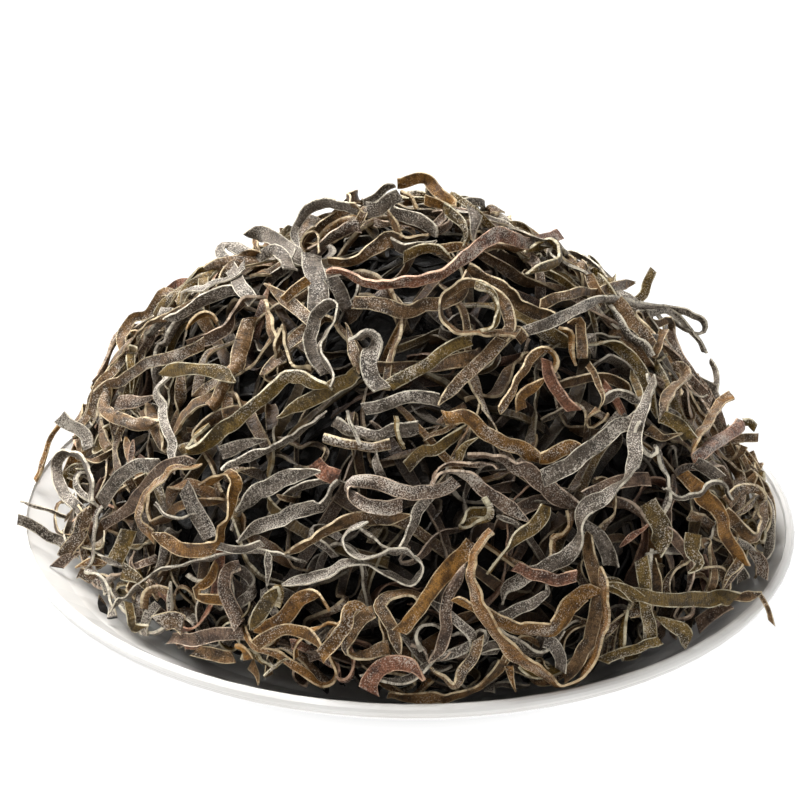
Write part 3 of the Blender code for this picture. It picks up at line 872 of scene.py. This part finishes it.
def finished(rng, room, strips):
    """Gives each strip its cut or torn ends, a width that swells and narrows along it, a
    thickness and a hollow that comes and goes."""
    for strip in strips:
        count = len(strip.points)
        gap = strip.along[-1] / (count - 1)
        halves = strip.half * (1 + 0.09 * wander(rng, count, gap, 10 * MM))
        strip.ahead = np.zeros((count, 3))
        course = unit(np.gradient(strip.points, axis=0))
        for end in (1, -1):
            from_end = np.arange(count)[::end]
            if rng.random() < 0.28:
                halves *= np.clip((from_end * gap + 0.5 * MM) / rng.uniform(4 * MM, 12 * MM), 0, 1) ** 0.8
            else:
                slant = rng.normal() * 0.45 * strip.half
                fade = np.clip(1 - from_end * gap / (3 * MM), 0, 1)
                strip.ahead += course * (fade * slant)[:, None]
        strip.halves = np.maximum(halves, 0.22 * MM)
        strip.hollow = rng.uniform(0.1, 0.9) * MM * wander(rng, count, gap, 16 * MM)
        strip.thick = rng.uniform(0.45, 0.85) * MM / 2
        strip.seed = rng.uniform(0, 1)
        # How deep each point lies under what covers it, which the material darkens as painted shade.
        away = strip.points - FAN
        reach = np.linalg.norm(away, axis=1)
        rays = away / reach[:, None]
        under = np.maximum(room.read(room.outline, rays), room.read(room.top, rays) + ON_TOP)
        strip.deep = under - reach


def skeleton(name, strips):
    """One mesh of lines, a line for each strip, with what the sweep reads at its points."""
    mesh = bpy.data.meshes.new(name)
    edges, start = [], 0
    for strip in strips:
        count = len(strip.points)
        edges += [(start + i, start + i + 1) for i in range(count - 1)]
        start += count
    mesh.from_pydata(np.concatenate([s.points for s in strips]).tolist(), edges, [])
    values = {
        "side": [s.wide * s.halves[:, None] for s in strips],
        "lift": [s.up for s in strips],
        "ahead": [s.ahead for s in strips],
        "along": [s.along for s in strips],
        "half": [s.halves for s in strips],
        "hollow": [s.hollow for s in strips],
        "thick": [np.full(len(s.points), s.thick) for s in strips],
        "seed": [np.full(len(s.points), s.seed) for s in strips],
        "deep": [s.deep for s in strips],
    }
    for label, rows in values.items():
        rows = np.concatenate(rows).astype(np.float32)
        kind, field = ("FLOAT", "value") if rows.ndim == 1 else ("FLOAT_VECTOR", "vector")
        mesh.attributes.new(label, kind, "POINT").data.foreach_set(field, rows.ravel())
    return mesh


def sweep_tree():
    """The tree that turns the skeleton's lines into strips with cut edges."""
    tree = bpy.data.node_groups.new("kelp strip sweep", "GeometryNodeTree")
    put = partial(add, tree)
    for label, side, kind in (
        ("Geometry", "INPUT", "Geometry"),
        ("Rows", "INPUT", "Int"),
        ("Ruffle", "INPUT", "Float"),
        ("Ruffle Length", "INPUT", "Float"),
        ("Material", "INPUT", "Material"),
        ("Geometry", "OUTPUT", "Geometry"),
    ):
        tree.interface.new_socket(label, in_out=side, socket_type="NodeSocket" + kind)
    given = put("NodeGroupInput").outputs
    rows = given["Rows"]

    # The outline of a cut through a strip: Rows points over the top, as many under it.
    count = put(MATH, {0: rows, 1: 2.0}, operation="MULTIPLY")
    ring = put("GeometryNodeCurvePrimitiveCircle", {"Resolution": count, "Radius": MM})
    index = put("GeometryNodeInputIndex")
    last = put(MATH, {0: rows, 1: 0.5}, operation="SUBTRACT")
    under = put(MATH, {0: index, 1: last}, operation="GREATER_THAN")
    skin = put(MATH, {0: under, 1: -2.0, 2: 1.0}, operation="MULTIPLY_ADD")
    passed = put(MATH, {0: under, 1: rows}, operation="MULTIPLY")
    place = put(MATH, {0: index, 1: passed}, operation="SUBTRACT")
    steps = put(MATH, {0: rows, 1: 1.0}, operation="SUBTRACT")
    share = put(MATH, {0: place, 1: steps}, operation="DIVIDE")
    across = put(MATH, {0: share, 1: 2.0, 2: -1.0}, operation="MULTIPLY_ADD")
    across = put(MATH, {0: across, 1: skin}, operation="MULTIPLY")
    ring = put(STORE, {0: ring, "Name": "across", "Value": across}, data_type="FLOAT")
    ring = put(STORE, {0: ring, "Name": "skin", "Value": skin}, data_type="FLOAT")

    lines = put("GeometryNodeMeshToCurve", {0: given["Geometry"]})
    centre = put("GeometryNodeInputPosition")
    lines = put(STORE, {0: lines, "Name": "centre", "Value": centre}, data_type="FLOAT_VECTOR")
    swept = put("GeometryNodeCurveToMesh",
                {"Curve": lines, "Profile Curve": ring, "Fill Caps": True})
    read = {}
    for label in ("across", "along", "half", "hollow", "thick", "seed", "skin"):
        read[label] = put(READ, {"Name": label}, data_type="FLOAT")
    for label in ("centre", "side", "ahead", "lift"):
        read[label] = put(READ, {"Name": label}, data_type="FLOAT_VECTOR")

    # Where a point is on its strip, for the material: along it, across it, and which strip.
    aside = put(MATH, {0: read["across"], 1: read["half"]}, operation="MULTIPLY")
    spot = put("ShaderNodeCombineXYZ", {0: read["along"], 1: aside, 2: read["seed"]})
    swept = put(STORE, {0: swept, "Name": "spot", "Value": spot}, data_type="FLOAT_VECTOR")

    # Each edge ruffles on its own: the noise is read at another place for each.
    waves = put(MATH, {0: read["along"], 1: given["Ruffle Length"]}, operation="DIVIDE")
    apart = put("ShaderNodeCombineXYZ", {0: waves, 1: read["across"], 2: read["seed"]})
    apart = put(VECTORS, {0: apart, 1: (1.0, 1.3, 91.0)}, operation="MULTIPLY")
    ruffle = put(NOISE, {"Vector": apart, "Scale": 1.0, "Detail": 1.5})
    ruffle = put(MATH, {0: ruffle, 1: 0.5}, operation="SUBTRACT")
    ruffle = put(MATH, {0: ruffle, 1: given["Ruffle"]}, operation="MULTIPLY")
    outer = put(MATH, {0: read["across"]}, operation="ABSOLUTE")
    outer = put(MATH, {0: outer, 1: 1.5}, operation="POWER")
    outer = put(MATH, {0: outer, 1: 0.25}, operation="ADD")
    squared = put(MATH, {0: read["across"], 1: read["across"]}, operation="MULTIPLY")
    rise = put(MATH, {0: read["skin"], 1: read["thick"]}, operation="MULTIPLY")
    rise = put(MATH, {0: squared, 1: read["hollow"], 2: rise}, operation="MULTIPLY_ADD")
    rise = put(MATH, {0: ruffle, 1: outer, 2: rise}, operation="MULTIPLY_ADD")

    side = put(VECTORS, {0: read["side"], 1: read["ahead"]}, operation="ADD")
    side = put(VECTORS, {0: side, "Scale": read["across"]}, operation="SCALE")
    raised = put(VECTORS, {0: read["lift"], "Scale": rise}, operation="SCALE")
    place = put(VECTORS, {0: read["centre"], 1: side}, operation="ADD")
    place = put(VECTORS, {0: place, 1: raised}, operation="ADD")
    moved = put("GeometryNodeSetPosition", {"Geometry": swept, "Position": place})
    smooth = put("GeometryNodeSetShadeSmooth", {0: moved})
    outward = put("GeometryNodeFlipFaces", {0: smooth})
    real = put("GeometryNodeRealizeInstances", {0: outward})
    dressed = put("GeometryNodeSetMaterial", {"Geometry": real, "Material": given["Material"]})
    put("NodeGroupOutput", {0: dressed})
    return tree


def swept_piece(name, strips, tree, material, rows):
    """Strips of one colour as one plain mesh."""
    item = bpy.data.objects.new(name, skeleton(name, strips))
    bpy.context.scene.collection.objects.link(item)
    modifier = item.modifiers.new("Sweep", "NODES")
    modifier.node_group = tree
    values = {"Rows": rows, "Ruffle": 1.6 * MM, "Ruffle Length": 6 * MM, "Material": material}
    for socket in tree.interface.items_tree:
        if socket.in_out == "INPUT" and socket.name in values:
            modifier[socket.identifier] = values[socket.name]
    graph = bpy.context.evaluated_depsgraph_get()
    mesh = bpy.data.meshes.new_from_object(item.evaluated_get(graph))
    item.modifiers.clear()
    item.data = mesh
    mesh.set_sharp_from_angle(angle=math.radians(50))
    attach(item, "root")
    return item


# ---------------------------------------------------------------- materials


def new_material(name):
    """A new material with an empty tree, and what adds a node to it."""
    material = bpy.data.materials.new(name)
    material.use_nodes = True
    material.node_tree.nodes.clear()
    return material, partial(add, material.node_tree)


def kelp_material(name, tones, shade, rim, salt_share):
    """Kelp, dried and cut into strips. Its skin is matte and finely wrinkled across the
    strip, with a bloom of dried salt in patches, and its cut edges show the paler flesh."""
    material, put = new_material(name)
    read = {}
    for label in ("seed", "across", "half", "skin", "deep"):
        read[label] = put("ShaderNodeAttribute", attribute_name=label).outputs["Fac"]
    spot = put("ShaderNodeAttribute", attribute_name="spot").outputs["Vector"]
    # Each pattern's size along and across the strip in millimetres, and its detail.
    noise = {}
    for label, along, across, detail in (
        ("wrinkles", 0.8, 3.0, 2.0),
        ("grain", 0.42, 0.38, 2.0),
        ("patches", 12.0, 5.0, 2.0),
        ("stains", 5.0, 2.5, 3.0),
        ("glint_spots", 3.0, 9.0, 3.0),
    ):
        scale = (1 / (along * MM), 1 / (across * MM), 97.0)
        place = put(VECTORS, {0: spot, 1: scale}, operation="MULTIPLY")
        noise[label] = put(NOISE, {"Vector": place, "Scale": 1.0, "Detail": detail})

    own = put(MATH, {0: read["seed"], 1: 7.0}, operation="MULTIPLY")
    own = put(MATH, {0: own}, operation="FRACT")
    skin = put("ShaderNodeValToRGB", {0: own})
    skin.color_ramp.elements[0].color = linear(tones[0])
    skin.color_ramp.elements[1].color = linear(tones[-1])
    for i, colour in enumerate(tones[1:-1]):
        skin.color_ramp.elements.new((i + 1) / (len(tones) - 1)).color = linear(colour)
    stained = put(RANGE, {0: noise["stains"], 1: 0.42, 2: 0.62, 3: 0.0, 4: 0.85})
    skin = put(MIX, {0: stained, 6: skin, 7: linear(shade)}, data_type="RGBA")
    pits = put(MIX, {0: 0.4, 2: noise["grain"], 3: noise["wrinkles"]}, data_type="FLOAT")
    pits = put(RANGE, {0: pits, 1: 0.40, 2: 0.54, 3: 0.60, 4: 0.0})
    skin = put(MIX, {0: pits, 6: skin, 7: linear("0f0b07")}, data_type="RGBA")

    # The bloom of salt: more of it in some patches, and on some strips than on others.
    share = put(MATH, {0: read["seed"], 1: 13.0}, operation="MULTIPLY")
    share = put(MATH, {0: share}, operation="FRACT")
    salt = 0.0
    for source, weight in (
        (noise["grain"], 1.5),
        (noise["patches"], 0.9),
        (noise["wrinkles"], 0.2),
        (share, 0.22),
    ):
        salt = put(MATH, {0: source, 1: weight, 2: salt}, operation="MULTIPLY_ADD")
    salt = put(RANGE, {0: salt, 1: 1.58 - salt_share, 2: 1.80 - salt_share, 3: 0.0, 4: 0.74})
    skin = put(MIX, {0: salt, 6: skin, 7: linear("d4cabb")}, data_type="RGBA")

    # The cut edges: the faces' outermost parts and all of the sides, pale flesh with painted highlight
    # spots along the strip.
    inward = put(MATH, {0: read["across"]}, operation="ABSOLUTE")
    inward = put(MATH, {0: 1.0, 1: inward}, operation="SUBTRACT")
    inward = put(MATH, {0: inward, 1: read["half"]}, operation="MULTIPLY")
    edge = put(RANGE, {0: inward, 1: 0.12 * MM, 2: 0.34 * MM, 3: 0.95, 4: 0.0})
    side = put(MATH, {0: read["skin"]}, operation="ABSOLUTE")
    side = put(RANGE, {0: side, 1: 0.90, 2: 0.99, 3: 0.92, 4: 0.0})
    edge = put(MATH, {0: edge, 1: side}, operation="MAXIMUM")
    # Painted highlight: the pale edge brightens and dims in spots along the strip.
    edge_glints = put(RANGE, {0: noise["glint_spots"], 1: 0.36, 2: 0.58, 3: 0.20, 4: 1.0})
    edge = put(MATH, {0: edge, 1: edge_glints}, operation="MULTIPLY")
    colour = put(MIX, {0: edge, 6: skin, 7: linear(rim)}, data_type="RGBA")

    # Painted shade: points lying deeper under the outline or the strips over them go deep brown, then near
    # black.
    for near, far, share, dark in ((3.0, 8.0, 0.70, "2b1b0c"), (7.0, 13.0, 0.95, "060402")):
        depth_shade = put(RANGE, {0: read["deep"], 1: near * MM, 2: far * MM, 3: 0.0, 4: share})
        colour = put(MIX, {0: depth_shade, 6: colour, 7: linear(dark)}, data_type="RGBA")

    relief = put(MATH, {0: noise["grain"], 1: 0.5, 2: noise["wrinkles"]}, operation="MULTIPLY_ADD")
    bump = put("ShaderNodeBump", {"Height": relief, "Distance": 0.6 * MM, "Strength": 0.9})
    shader = put("ShaderNodeBsdfPrincipled", {
        "Base Color": colour,
        "Roughness": 0.50,
        "Specular IOR Level": 0.30,
        "Normal": bump,
    })
    put("ShaderNodeOutputMaterial", {"Surface": shader})
    return material


def core_material():
    """Painted shade for the heap's depth, where hardly any light comes: near black, with a faint relief."""
    material, put = new_material("painted shade of the heap's depth")
    place = put("ShaderNodeTexCoord").outputs["Object"]
    strands = put(NOISE, {"Vector": place, "Scale": 1 / (4 * MM), "Detail": 3.0, "Distortion": 1.5})
    share = put(RANGE, {0: strands, 1: 0.35, 2: 0.70})
    colour = put(MIX, {0: share, 6: linear("0b0906"), 7: linear("1d1810")}, data_type="RGBA")
    bump = put("ShaderNodeBump", {"Height": strands, "Distance": 2 * MM, "Strength": 0.8})
    shader = put("ShaderNodeBsdfPrincipled",
                 {"Base Color": colour, "Roughness": 0.9, "Normal": bump})
    put("ShaderNodeOutputMaterial", {"Surface": shader})
    return material


def porcelain_material():
    """Porcelain, glazed and fired: a clear gloss over a warm white, with a glaze that
    lies in slow waves and a few pinholes."""
    material, put = new_material("glazed white porcelain")
    place = put("ShaderNodeTexCoord").outputs["Object"]
    waves = put(NOISE, {"Vector": place, "Scale": 1 / (30 * MM), "Detail": 1.0})
    flecks = put(NOISE, {"Vector": place, "Scale": 1 / (1.2 * MM), "Detail": 2.0})
    share = put(RANGE, {0: waves, 1: 0.35, 2: 0.65})
    colour = put(MIX, {0: share, 6: linear("e9e6e1"), 7: linear("efede9")}, data_type="RGBA")
    share = put(RANGE, {0: flecks, 1: 0.74, 2: 0.80, 3: 0.0, 4: 0.35})
    colour = put(MIX, {0: share, 6: colour, 7: linear("cfcac0")}, data_type="RGBA")
    bump = put("ShaderNodeBump", {"Height": waves, "Distance": 0.4 * MM, "Strength": 0.3})
    shader = put("ShaderNodeBsdfPrincipled",
                 {"Base Color": colour, "Roughness": 0.10, "Normal": bump})
    put("ShaderNodeOutputMaterial", {"Surface": shader})
    return material


def light_table_material():
    """Opal acrylic, cast, as the top of a light table: lit from below, with a painted shadow where it
    shines less round and under the plate."""
    material, put = new_material("opal acrylic light table")
    place = put("ShaderNodeNewGeometry").outputs["Position"]
    away = put(VECTORS, {0: place}, operation="LENGTH")
    # Painted shadow: the floor dims from 0.93 to 0.10 towards the plate's middle.
    glow_and_painted_shadow = put(RANGE, {0: away, 1: 0.055, 2: 0.092, 3: 0.10, 4: 0.93})
    shader = put("ShaderNodeBsdfPrincipled", {
        "Base Color": linear("5c5c5c"),
        "Roughness": 0.8,
        "Emission Color": linear("ffffff"),
        "Emission Strength": glow_and_painted_shadow,
    })
    put("ShaderNodeOutputMaterial", {"Surface": shader})
    return material


# ---------------------------------------------------------------- the core

# The core ends well inside the heap's foot, so that the plate shows between the strips there.
CORE_SPREAD = 0.87
CORE_ROWS = 40
CORE_TURNS = 96


def make_core(room, material):
    """The heap's inside in painted shade: a smaller closed mound that shows only in the gaps."""
    def ring(share, upper):
        points = []
        for t in range(CORE_TURNS):
            bearing = 2 * math.pi * t / CORE_TURNS
            slope = np.interp(math.degrees(bearing), np.arange(361), room.limits) * share
            ray = np.array((math.sin(slope) * math.cos(bearing),
                            math.sin(slope) * math.sin(bearing), math.cos(slope)))
            reach = room.read(room.plate, ray[None])[0] + 0.3 * MM
            if upper:
                reach = max(room.read(room.core, ray[None])[0] - MM, reach + 0.6 * MM)
            points.append(tuple(FAN + ray * reach))
        return points

    shares = [CORE_SPREAD * row / CORE_ROWS for row in range(1, CORE_ROWS + 1)]
    rings = [ring(share, True) for share in shares]
    rings += [ring(share, False) for share in reversed(shares[3::4])]
    points = [point for one in rings for point in one]
    tops = [tuple(np.mean(rings[0], axis=0)), tuple(np.mean(rings[-1], axis=0))]
    faces = []
    for r in range(len(rings) - 1):
        a = r * CORE_TURNS
        for t in range(CORE_TURNS):
            n = (t + 1) % CORE_TURNS
            faces.append((a + t, a + CORE_TURNS + t, a + CORE_TURNS + n, a + n))
    last = (len(rings) - 1) * CORE_TURNS
    for t in range(CORE_TURNS):
        n = (t + 1) % CORE_TURNS
        faces.append((len(points), t, n))
        faces.append((len(points) + 1, last + n, last + t))
    mesh = bpy.data.meshes.new("kelp_core")
    mesh.from_pydata(points + tops, [], faces)
    mesh.materials.append(material)
    mesh.shade_smooth()
    core = added(bpy.data.objects.new("kelp_core", mesh))
    return core


# ---------------------------------------------------------------- the studio


def make_light(name, place, target, size, power, colour="ffffff"):
    data = bpy.data.lights.new(name, "AREA")
    data.shape = "DISK"
    data.size = size
    data.energy = power
    data.color = linear(colour)[:3]
    lamp = bpy.data.objects.new(name, data)
    bpy.context.scene.collection.objects.link(lamp)
    direction = Vector(target) - Vector(place)
    lamp.location = place
    lamp.rotation_euler = direction.to_track_quat("-Z", "Y").to_euler()
    return lamp


def make_studio():
    world = bpy.data.worlds.new("studio")
    world.use_nodes = True
    world.node_tree.nodes.clear()
    put = partial(add, world.node_tree)
    # A pale band round the horizon and a dim ceiling.
    place = put("ShaderNodeTexCoord").outputs["Generated"]
    height = put("ShaderNodeSeparateXYZ", {0: place}).outputs["Z"]
    band = put(RANGE, {0: height, 1: 0.10, 2: 0.30, 3: 0.95, 4: 0.30})
    sky = put("ShaderNodeBackground", {"Color": linear("ffffff"), "Strength": band})
    put("ShaderNodeOutputWorld", {"Surface": sky})
    bpy.context.scene.world = world
    bpy.ops.mesh.primitive_plane_add(size=12)
    floor = bpy.context.object
    floor.name = "floor"
    floor.data.materials.append(light_table_material())
    aim = (0, 0, 0.06)
    make_light("top softbox", (-0.55, 0.46, 1.15), aim, 1.1, 40)
    make_light("front fill", (-0.25, -0.85, 1.35), aim, 0.8, 3.0)
    bpy.context.scene.view_settings.view_transform = "Standard"


# ---------------------------------------------------------------- the whole

# Each colour's faces, its stains, its cut edge, its share of salt, and its share of the
# strips that lie at random.
COLOURS = {
    "brown": (("7e6141", "8d6a42", "6c5135"), "372816", "e0cca6", 0.07, 0.34),
    "grey": (("786b5d", "83776a", "6a5e51"), "42382c", "e4dac4", 0.15, 0.18),
    "olive": (("7f632c", "725a28", "8e7338"), "3a2d10", "d8cdae", 0.04, 0.18),
    "amber": (("92652f", "9f7133", "7d5724"), "4e310e", "ddc59c", 0.03, 0.12),
    "red": (("935f44", "a0694c", "79503a"), "42291d", "e0b899", 0.09, 0.08),
    "mauve": (("7b604b", "866c57", "6a5341"), "3c2b21", "ddc5ab", 0.12, 0.10),
}


def main(sight):
    rng = np.random.default_rng(20)
    room = Room(sight.back)
    tree = sweep_tree()
    inner = lay_strips(room, rng, 300, {"long": 3, "wavy": 4, "curl": 2},
                       INNER_POINT_GAP, 3, -5 * MM)
    outer = lay_strips(room, rng, 400, {"long": 5, "wavy": 5, "curl": 3, "crumb": 2, "thread": 0.6},
                       POINT_GAP, 6, 1.5 * MM)
    outer += lay_strips(room, rng, 200, {"wavy": 2, "curl": 3, "crumb": 5},
                        POINT_GAP, 4, 5 * MM, lambda ray, share: share > 0.86)
    outer += lay_strips(room, rng, 90, {"long": 2, "wavy": 4, "curl": 4}, POINT_GAP, 3, 4 * MM,
                        lambda ray, share: abs(ray @ sight.back) < 0.35 and share < 0.9, 13 * MM)
    front = Front(sight)
    for strip in inner + outer:
        front.mark(strip.cover())
    families = {colour: [] for colour in COLOURS}
    shares = [values[-1] for values in COLOURS.values()]
    for strip in outer:
        families[rng.choice(list(COLOURS), p=shares)].append(strip)
    for colour, width, *points in CHOSEN:
        families[colour].append(chosen_strip(rng, room, front, width, points))
    # Painted shade: the inner strips get darker tones, a dim edge and no salt, for the shade deep in the
    # heap.
    dark = kelp_material("dried kelp, inner strips in painted shade", ("2f2a20", "3a3326", "403524"), "1c1811",
                         "7d7058", 0.0)
    finished(rng, room, inner)
    swept_piece("kelp_inner_tangle", inner, tree, dark, 3)
    for colour, (tones, shade, rim, salt_share, _) in COLOURS.items():
        finished(rng, room, families[colour])
        material = kelp_material("dried kelp, " + colour, tones, shade, rim, salt_share)
        swept_piece("kelp_strips_" + colour, families[colour], tree, material, 4)
    core = make_core(room, core_material())
    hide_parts("kelp_heap")
    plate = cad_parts["plate"]
    plate.data.materials.clear()
    plate.data.materials.append(porcelain_material())


sight = Sight()
make_camera(sight)
make_studio()
main(sight)
